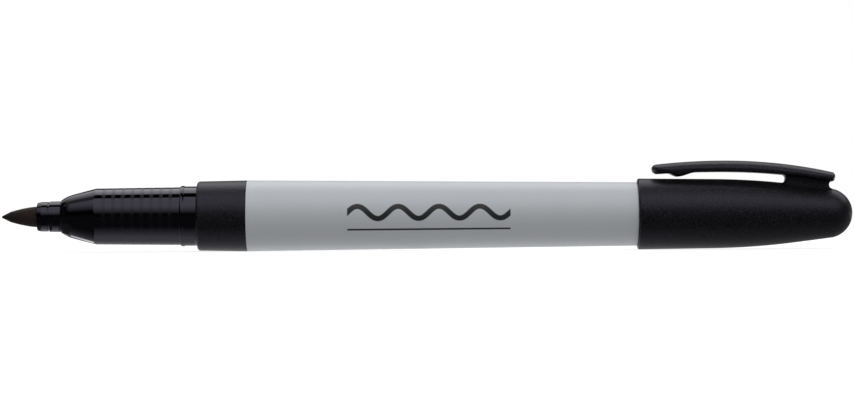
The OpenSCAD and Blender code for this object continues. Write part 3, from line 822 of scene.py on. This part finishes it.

# %% [markdown]
# ## Studio
# The marker lies in a white tent: even light from all round, a softbox behind for the rim along the top, and
# a pale table whose painted glow throws some light up, more behind the marker than in front. Polished black
# plastic mirrors all of it, so its dark bands come from black cards and its grey band from a panel. Cards and
# panel are seen only in reflections.

# %% White tent
TENT_LIGHT = 0.78
WHITE = linear("#ffffff")
SMOOTH = {"interpolation_type": "SMOOTHSTEP"}


def any_view_ray(tree):
    """1 for rays that look at the surroundings, straight, in a reflection or through glass, and else 0."""
    path = add(tree, "LightPath")
    seen = add(tree, "Math", {
        0: path.outputs["Is Camera Ray"], 1: path.outputs["Is Glossy Ray"]}, operation="MAXIMUM")
    return add(tree, "Math", {0: seen, 1: path.outputs["Is Transmission Ray"]}, operation="MAXIMUM")


world = bpy.data.worlds.new("white_tent")
bpy.context.scene.world = world
world.use_nodes = True
tree = world.node_tree
tree.nodes.clear()
level = add(tree, "MapRange", {0: any_view_ray(tree), 3: TENT_LIGHT, 4: 1.0})
tent = add(tree, "Background", {"Color": WHITE, "Strength": level})
add(tree, "OutputWorld", {0: tent})
bpy.context.scene.view_settings.view_transform = "Standard"
print("tent light", TENT_LIGHT)

# %% Rear softbox
STUDIO_REACH = 550.0
SOFTBOX_WIDTH = 1400.0
REAR_LOW, REAR_HIGH, REAR_LIGHT = 102, 140, 0.6


def around(angle, reach=STUDIO_REACH):
    """The place (y, z) in millimetres at an angle round the marker, from the camera's side over the top."""
    return -reach * math.cos(math.radians(angle)), AXIS + reach * math.sin(math.radians(angle))


middle = (REAR_LOW + REAR_HIGH) / 2
height = 2 * STUDIO_REACH * math.tan(math.radians(REAR_HIGH - REAR_LOW) / 2)
lamp = bpy.data.lights.new("rear_softbox", "AREA")
lamp.shape = "RECTANGLE"
lamp.size, lamp.size_y = SOFTBOX_WIDTH * MM, height * MM
lamp.energy = REAR_LIGHT * math.pi * lamp.size * lamp.size_y
softbox = bpy.data.objects.new("rear_softbox", lamp)
softbox.location = (0, *(v * MM for v in around(middle)))
softbox.rotation_euler = (math.pi / 2 - math.radians(middle), 0, 0)
softbox.visible_camera = False
bpy.context.scene.collection.objects.link(softbox)
print("rear softbox", round(height), "mm high,", round(lamp.energy, 2), "W")

# %% Table
FLOOR_HALF = 3000.0
FLOOR_PAINT, FLOOR_LIFT = 0.4, 0.75
GLOW_FRONT, GLOW_BACK = 0.25, 0.58
GLOW_FROM, GLOW_TO = -8.0, -1.5


def flat_piece(name, corners, material):
    """A flat stage piece from its four corners in millimetres."""
    mesh = bpy.data.meshes.new(name)
    mesh.from_pydata([[v * MM for v in corner] for corner in corners], [], [(0, 1, 2, 3)])
    mesh.materials.append(material)
    made = bpy.data.objects.new(name, mesh)
    bpy.context.scene.collection.objects.link(made)
    return made


paper, tree, mm = new_material("paper_white_seamless")
y = add(tree, "SeparateXYZ", {0: mm}).outputs["Y"]
# Painted light: for all but view rays the table glows instead of reflecting, weaker in front of the marker
# than behind it.
upward = add(tree, "MapRange", {0: y, 1: GLOW_FROM, 2: GLOW_TO, 3: GLOW_FRONT, 4: GLOW_BACK}, **SMOOTH)
white = add(tree, "BsdfDiffuse", {"Color": (FLOOR_PAINT, FLOOR_PAINT, FLOOR_PAINT, 1)})
lift = add(tree, "Emission", {"Color": WHITE, "Strength": FLOOR_LIFT})
glow = add(tree, "Emission", {"Color": WHITE, "Strength": upward})
both = add(tree, "AddShader", {0: white, 1: lift})
by_ray = add(tree, "MixShader", {0: any_view_ray(tree), 1: glow, 2: both})
add(tree, "OutputMaterial", {0: by_ray})
f = FLOOR_HALF
flat_piece("floor", [(-f, -f, 0), (f, -f, 0), (f, f, 0), (-f, f, 0)], paper)

# %% [markdown]
# ## Cards and panel
# A card in front hides the bright horizon, so the middle of the grip goes black. The panel above it draws the
# grey band. It fades out at both ends and towards its foot, which rises to the left, where the nose mirrors
# it. Over the cap it also fades towards its head, which paints shade on the cap under its clip. A card
# overhead draws the thin dark line and turns grey to the left, and the softbox's face draws the rim along the
# top.

# %% Plain cards
CARD_TONE, FLAG_TONE, EDGE_GLOW_LIGHT = 0.03, 0.13, 3.0


def plain_card(name, tone):
    """A card of the same tone all over."""
    card, tree, _ = new_material(name)
    even = add(tree, "Emission", {"Color": WHITE, "Strength": tone})
    add(tree, "OutputMaterial", {0: even})
    return card


card_black = plain_card("card_black_flocked", CARD_TONE)
flag_grey = plain_card("card_grey_dark", FLAG_TONE)
# Painted highlight: this card glows brighter than white and, seen only in reflections, brightens the nose's
# lower edge.
edge_glow = plain_card("card_white_edge_glow", EDGE_GLOW_LIGHT)

# %% Front panel
PANEL_LIGHT, PANEL_LEFT_END, PANEL_LEFT, PANEL_RIGHT, PANEL_RIGHT_END = 1.38, -640.0, -200.0, 300.0, 900.0
PANEL_FOOT, PANEL_EVEN = 107.0, 305.0
PANEL_LIFT, LIFT_FULL, LIFT_NONE = 110.0, -310.0, -220.0
HEAD_FULL, HEAD_NONE, HEAD_LEFT, HEAD_RIGHT = 400.0, 520.0, 20.0, 100.0
panel_white, tree, mm = new_material("panel_white_faded")
x, _, z = add(tree, "SeparateXYZ", {0: mm}).outputs
from_left = add(tree, "MapRange", {
    0: x, 1: PANEL_LEFT_END, 2: PANEL_LEFT, 3: 0.0, 4: PANEL_LIGHT}, **SMOOTH)
from_right = add(tree, "MapRange", {0: x, 1: PANEL_RIGHT_END, 2: PANEL_RIGHT}, **SMOOTH)
rise = add(tree, "MapRange", {0: x, 1: LIFT_FULL, 2: LIFT_NONE, 3: PANEL_LIFT, 4: 0.0}, **SMOOTH)
above = add(tree, "Math", {0: z, 1: rise}, operation="SUBTRACT")
from_foot = add(tree, "MapRange", {0: above, 1: PANEL_FOOT, 2: PANEL_EVEN})
fade = add(tree, "Math", {0: from_left, 1: from_right}, operation="MULTIPLY")
full = add(tree, "Math", {0: fade, 1: from_foot}, operation="MULTIPLY")
# Painted shade: over the cap the panel fades towards its head, which darkens the cap under its clip.
to_head = add(tree, "MapRange", {0: z, 1: HEAD_FULL, 2: HEAD_NONE})
to_cap = add(tree, "MapRange", {0: x, 1: HEAD_LEFT, 2: HEAD_RIGHT}, **SMOOTH)
loss = add(tree, "Math", {0: to_head, 1: to_cap}, operation="MULTIPLY")
kept = add(tree, "Math", {0: 1.0, 1: loss}, operation="SUBTRACT")
level = add(tree, "Math", {0: full, 1: kept}, operation="MULTIPLY")
light = add(tree, "Emission", {"Color": WHITE, "Strength": level})
add(tree, "OutputMaterial", {0: light})

# %% Softbox's face and overhead card
REAR_LEFT, REAR_RIGHT, REAR_LEFT_END, REAR_LEFT_FULL = 2.2, 1.5, -470.0, -110.0
REAR_TURN_FROM, REAR_TURN_TO = -100.0, 20.0
TOP_LEFT, TOP_LEFT_FULL, TOP_LEFT_NONE = 0.3, -260.0, -150.0
rear_white, tree, mm = new_material("softbox_face_white")
x = add(tree, "SeparateXYZ", {0: mm}).outputs["X"]
fade = add(tree, "MapRange", {0: x, 1: REAR_LEFT_END, 2: REAR_LEFT_FULL})
to_right = add(tree, "MapRange", {0: x, 1: REAR_TURN_FROM, 2: REAR_TURN_TO, 3: REAR_LEFT, 4: REAR_RIGHT})
level = add(tree, "Math", {0: fade, 1: to_right}, operation="MULTIPLY")
light = add(tree, "Emission", {"Color": WHITE, "Strength": level})
add(tree, "OutputMaterial", {0: light})

top_grey, tree, mm = new_material("card_black_to_grey")
x = add(tree, "SeparateXYZ", {0: mm}).outputs["X"]
level = add(tree, "MapRange", {0: x, 1: TOP_LEFT_FULL, 2: TOP_LEFT_NONE, 3: TOP_LEFT, 4: 0.0}, **SMOOTH)
light = add(tree, "Emission", {"Color": WHITE, "Strength": level})
add(tree, "OutputMaterial", {0: light})

# %% [markdown]
# ## Scrims and small cards
# Scrims on the table paint the table's shade into its reflection, which fades in under the marker; the grip's
# scrim also dips as in the marker's shadow. Nib, holder, nose, grip and the rest stand at different heights
# above the table, so each has a scrim of its own. A small glowing card paints a highlight along the nose's
# lower edge, and two small flags keep the shoulder behind the holder dark. Cards at both ends and far behind
# keep the matte cap's dome and rim dark.

# %% Graded scrims
SCRIM_TONE = 0.05
SCRIM_TURN_FROM, SCRIM_TURN_TO, SHADOW_RUN = 10.0, 85.0, 1.8


def graded_scrim(name, start, full, most, last=None, bend=1.0, dip=1.0):
    """A black scrim that grows clearer along Y from its start to where it lets most through: that share is a
    line raised to the power of its bend. Nearer to the marker it may dip, as in the marker's own shadow, and
    towards the right end of the marker it may change to a last share."""
    scrim, tree, mm = new_material(name)
    x, y, _ = add(tree, "SeparateXYZ", {0: mm}).outputs
    at_end = most if last is None else last
    along = add(tree, "MapRange", {
        0: x, 1: SCRIM_TURN_FROM, 2: SCRIM_TURN_TO, 3: most, 4: at_end}, **SMOOTH)
    line = add(tree, "MapRange", {0: y, 1: start, 2: full})
    rise = add(tree, "Math", {0: line, 1: bend}, operation="POWER")
    # Painted shadow: the dip darkens the scrim next to the marker, as the marker's shadow darkens the table.
    shadow = add(tree, "MapRange", {0: y, 1: full, 2: full + SHADOW_RUN, 3: 1.0, 4: dip})
    shaded = add(tree, "Math", {0: rise, 1: shadow}, operation="MULTIPLY")
    clear = add(tree, "Math", {0: shaded, 1: along}, operation="MULTIPLY")
    dark = add(tree, "Emission", {"Color": WHITE, "Strength": SCRIM_TONE})
    weave = add(tree, "BsdfTransparent")
    by_place = add(tree, "MixShader", {0: clear, 1: dark, 2: weave})
    add(tree, "OutputMaterial", {0: by_place})
    return scrim


# Painted shade: each scrim darkens the table's reflection in front of and under the marker.
nib_veil = graded_scrim("scrim_black_dense", start=-5.5, full=-1.3, most=0.1)
holder_veil = graded_scrim("scrim_black_short", start=-4.6, full=-1.4, most=0.95, bend=1.7)
nose_veil = graded_scrim("scrim_black_steep", start=-5.5, full=-1.3, most=0.45, bend=1.7)
grip_veil = graded_scrim("scrim_black_shadowed", start=-9.2, full=-3.3, most=0.93, bend=1.7, dip=0.7)
long_veil = graded_scrim("scrim_black_graded", start=-9.3, full=-1.0, most=1.0, last=0.15)

# %% Shapes of the cards
CARD_HALF = 900.0
SIDE_CARD_X, SIDE_CARD_HALF, SIDE_CARD_TOP = 720.0, 600.0, 900.0
FLAG_FRONT, FLAG_BACK, FLAG_FOOT, FLAG_TOP = -5.0, 0.5, 0.1, 3.1


def strip(name, start, end, material, left=-CARD_HALF, right=CARD_HALF):
    """A card between two places (y, z), as long as the studio or from one x to another."""
    return flat_piece(name, [(left, *start), (right, *start), (right, *end), (left, *end)], material)


def upright(name, x, front_y, back_y, foot, top, material):
    """A standing card across the marker, between two y and two heights."""
    corners = [(x, front_y, foot), (x, back_y, foot), (x, back_y, top), (x, front_y, top)]
    return flat_piece(name, corners, material)


def side_card(name, x):
    """A large card at one end."""
    return upright(name, x, -SIDE_CARD_HALF, SIDE_CARD_HALF, 0, SIDE_CARD_TOP, card_black)


def flag(name, x):
    """A small card, low enough to stand under the holder."""
    return upright(name, x, FLAG_FRONT, FLAG_BACK, FLAG_FOOT, FLAG_TOP, flag_grey)


print("studio", 2 * CARD_HALF, "mm wide")

# %% Cards in their places
FRONT_CARD_TOP, PANEL_TOP, TOP_CARD_END, REAR_FACE_END = 10, 80, 101, 138
FRONT_CARD_Y, REAR_REACH = -250.0, 500.0
BACK_CARD_Y, BACK_CARD_FOOT, BACK_CARD_TOP = 900.0, 15.0, 585.0
SCRIM_EDGES = (FRONT_CARD_Y, 0.1), (40.0, 0.1)
EDGE_GLOW_FRONT, EDGE_GLOW_BACK, EDGE_GLOW_INSET = (-0.3, 0.2), (1.6, 0.2), 0.4
NEAR_FLAG, FAR_FLAG = 0.33, 2.0
HOLDER_ZONE, NOSE_ZONE, GRIP_ZONE, COLLAR_ZONE = 0.8, 0.6, 1.0, 0.5
under_holder, under_nose = front["nib_holder"] - HOLDER_ZONE, front["section"] - NOSE_ZONE
under_grip, under_collar = crease - GRIP_ZONE, collar_face - COLLAR_ZONE
front_top = AXIS - FRONT_CARD_Y * math.tan(math.radians(FRONT_CARD_TOP))
cards = [
    strip("front_card", SCRIM_EDGES[0], (FRONT_CARD_Y, front_top), card_black),
    strip("front_panel", around(FRONT_CARD_TOP), around(PANEL_TOP), panel_white),
    strip("top_card", around(PANEL_TOP), around(TOP_CARD_END), top_grey),
    strip("back_card", (BACK_CARD_Y, BACK_CARD_FOOT), (BACK_CARD_Y, BACK_CARD_TOP), card_black),
    strip("rear_face", around(TOP_CARD_END, REAR_REACH), around(REAR_FACE_END, REAR_REACH), rear_white),
    strip("nib_scrim", *SCRIM_EDGES, nib_veil, right=under_holder),
    strip("holder_scrim", *SCRIM_EDGES, holder_veil, under_holder, under_nose),
    strip("nose_scrim", *SCRIM_EDGES, nose_veil, under_nose, under_grip),
    strip("grip_scrim", *SCRIM_EDGES, grip_veil, under_grip, under_collar),
    strip("long_scrim", *SCRIM_EDGES, long_veil, left=under_collar),
    # Painted highlight along the nose's lower edge, from a glowing card.
    strip("edge_glow_card", EDGE_GLOW_FRONT, EDGE_GLOW_BACK, edge_glow, front["section"] + EDGE_GLOW_INSET, under_grip),
    flag("near_flag", front["section"] - NEAR_FLAG),
    flag("far_flag", front["section"] - FAR_FLAG),
    side_card("left_card", -SIDE_CARD_X),
    side_card("right_card", SIDE_CARD_X)]
for card in cards:
    card.visible_camera = card.visible_diffuse = False
    card.visible_shadow = card.visible_transmission = False
print(len(cards), "cards")
